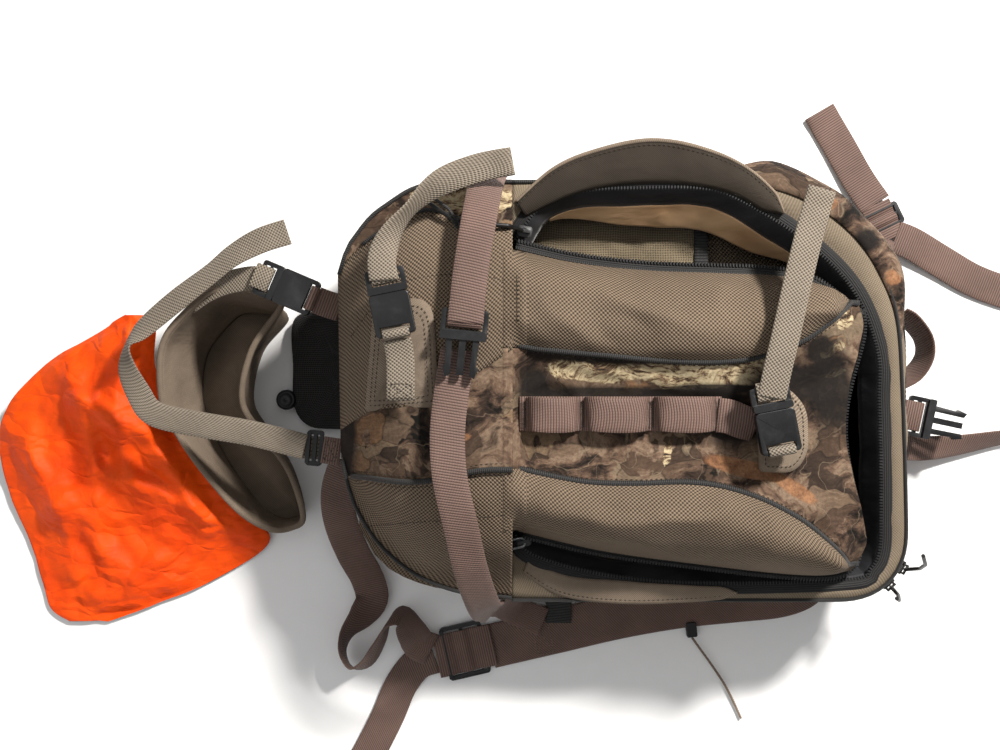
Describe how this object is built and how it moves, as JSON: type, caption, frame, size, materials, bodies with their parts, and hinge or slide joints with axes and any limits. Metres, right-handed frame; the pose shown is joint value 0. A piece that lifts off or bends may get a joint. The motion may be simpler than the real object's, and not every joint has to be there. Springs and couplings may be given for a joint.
{
  "type": "hunting backpack",
  "caption": "Lidless hunting daypack lying on its back, front panel unzipped, weapon boot and orange cover folded out of its bottom end, webbing straps and side-release buckles.",
  "frame": {"origin": "centre of the back panel's rest face, on the floor", "axes": "+X towards the pack's top end with the haul handle, +Y towards the side with the open storm flap, +Z out of the pack's front"},
  "size_m": [0.8827, 0.5759, 0.2171],
  "materials": {
    "camo_cloth": "bark and leaf camouflage twill, matte",
    "taupe_weave": "coarse ballistic basket weave, taupe",
    "taupe_twill": "fine taupe twill",
    "blaze_nylon": "thin crinkled blaze-orange nylon, slight sheen",
    "tan_webbing": "tan nylon webbing, plain weave",
    "brown_webbing": "brown ribbed nylon webbing",
    "black_mesh": "black spacer mesh",
    "olive_mesh": "olive pocket mesh",
    "zip_coil": "black nylon coil and tape",
    "black_acetal": "black acetal, moulded",
    "slider_metal": "black painted zinc",
    "ring_metal": "worn dark steel",
    "cord": "thin braided cord"
  },
  "bodies": {
    "pack": {"rear_wall_left": "camo_cloth", "rear_wall_right": "camo_cloth", "rear_wall_top": "camo_cloth", "rear_wall_bottom": "camo_cloth", "front_gusset_left": "taupe_twill", "front_gusset_right": "taupe_twill", "front_gusset_top": "taupe_twill", "front_gusset_bottom": "taupe_weave", "back_panel": "black_mesh", "lumbar_pad": "black_mesh", "hydration_sleeve": "taupe_weave", "mesh_pocket": "olive_mesh", "lower_front_panel": "camo_cloth", "rim_margin": "taupe_twill", "main_zip": "zip_coil", "compression_strap_upper": "brown_webbing", "compression_strap_lower": "brown_webbing", "stock_strap_anchor": "tan_webbing", "stock_buckle_female": "black_acetal", "stock_pouch_flap": "taupe_twill", "storm_flap_upper": "taupe_twill", "storm_flap_lower": "taupe_twill", "shoulder_strap_right": "brown_webbing", "adjuster_web_right": "brown_webbing", "adjuster_tail_right": "brown_webbing", "shoulder_strap_left": "brown_webbing", "adjuster_tail_left": "brown_webbing", "ladder_loop_left": "brown_webbing", "sternum_web": "brown_webbing", "sternum_tail": "brown_webbing"},
    "front_flap": {"front_pod_upper": "taupe_weave", "front_center_strip": "camo_cloth", "front_pod_lower": "taupe_weave", "daisy_chain": "brown_webbing", "flap_zip": "zip_coil", "barrel_pouch": "taupe_twill", "barrel_buckle_female": "black_acetal"},
    "barrel_release": {"barrel_buckle_male": "black_acetal", "barrel_strap_tail": "tan_webbing"},
    "stock_release": {"stock_buckle_male": "black_acetal", "stock_strap_tail": "tan_webbing"},
    "boot": {"boot_shell": "taupe_twill", "boot_strap": "tan_webbing", "boot_buckle": "black_acetal", "boot_ladder_lock": "black_acetal", "boot_tab_upper": "brown_webbing", "boot_tab_lower": "brown_webbing"},
    "cover": {"blaze_cover": "blaze_nylon"},
    "compression_buckle": {"compression_buckle_male": "black_acetal"},
    "sternum_buckle": {"sternum_buckle_male": "black_acetal"},
    "right_lock": {"ladder_lock_right": "black_acetal"},
    "left_lock": {"ladder_lock_left": "black_acetal"},
    "haul": {"haul_handle": "brown_webbing"},
    "corner_slider_a": {"slider_corner_top": "slider_metal"},
    "corner_slider_b": {"slider_corner_side": "slider_metal"},
    "upper_slider": {"slider_upper": "slider_metal"},
    "lower_slider": {"slider_lower": "slider_metal"},
    "ring_pull": {"ring_pull_lower": "ring_metal"},
    "keeper": {"cord_keeper": "black_acetal", "keeper_cord": "cord"}
  },
  "joints": [
    {"name": "front_flap_open", "type": "hinge", "parent": "pack", "child": "front_flap", "pos_m": [-0.086, 0, 0.199], "axis": [0, -1, 0], "range_deg": [0, 75]},
    {"name": "barrel_buckle_release", "type": "slide", "parent": "front_flap", "child": "barrel_release", "axis": [-0.1908, 0.9816, 0], "range_m": [0, 0.03]},
    {"name": "stock_buckle_release", "type": "slide", "parent": "pack", "child": "stock_release", "axis": [-0.1994, 0.9799, 0], "range_m": [0, 0.03]},
    {"name": "boot_fold", "type": "hinge", "parent": "pack", "child": "boot", "pos_m": [-0.219, 0, 0.106], "axis": [0, 1, 0], "range_deg": [0, 20]},
    {"name": "blaze_cover_fold", "type": "hinge", "parent": "boot", "child": "cover", "pos_m": [-0.388, 0.012, 0.055], "axis": [-0.4807, 0.8325, 0.2755], "range_deg": [0, 35]},
    {"name": "compression_buckle_tilt", "type": "hinge", "parent": "pack", "child": "compression_buckle", "pos_m": [-0.1197, 0.0491, 0.2066], "axis": [-0.9954, 0.0958, 0], "range_deg": [0, 25]},
    {"name": "sternum_buckle_tilt", "type": "hinge", "parent": "pack", "child": "sternum_buckle", "pos_m": [0.2482, -0.0223, 0.046], "axis": [-0.208, -0.9781, 0], "range_deg": [0, 50]},
    {"name": "right_ladder_lock_tilt", "type": "hinge", "parent": "pack", "child": "right_lock", "pos_m": [-0.1089, -0.2203, 0.0026], "axis": [-0.2251, 0.9743, 0], "range_deg": [0, 25]},
    {"name": "left_ladder_lock_tilt", "type": "hinge", "parent": "pack", "child": "left_lock", "pos_m": [0.2357, 0.1374, 0.0026], "axis": [0.899, 0.438, 0], "range_deg": [0, 25]},
    {"name": "haul_handle_swing", "type": "hinge", "parent": "pack", "child": "haul", "pos_m": [0.229, 0.033, 0.0545], "axis": [0.018, -0.9632, -0.2681], "range_deg": [0, 30]},
    {"name": "corner_slider_a_travel", "type": "hinge", "parent": "pack", "child": "corner_slider_a", "pos_m": [0.1768, -0.1138, 0.088], "axis": [0, 0, 1], "range_deg": [0, 26]},
    {"name": "corner_slider_b_travel", "type": "hinge", "parent": "pack", "child": "corner_slider_b", "pos_m": [0.1768, -0.1138, 0.088], "axis": [0, 0, 1], "range_deg": [-26, 0]},
    {"name": "upper_slider_travel", "type": "slide", "parent": "pack", "child": "upper_slider", "axis": [0.9659, 0.2588, 0], "range_m": [0, 0.016]},
    {"name": "lower_slider_travel", "type": "slide", "parent": "pack", "child": "lower_slider", "axis": [0.9613, -0.2756, 0], "range_m": [0, 0.014]},
    {"name": "ring_pull_lift", "type": "hinge", "parent": "lower_slider", "child": "ring_pull", "pos_m": [-0.07627, -0.11382, 0.1332], "axis": [-0.2421, 0.9703, 0], "range_deg": [0, 80]},
    {"name": "keeper_travel", "type": "slide", "parent": "pack", "child": "keeper", "axis": [0.9945, 0.1045, 0], "range_m": [0, 0.025]}
  ]
}
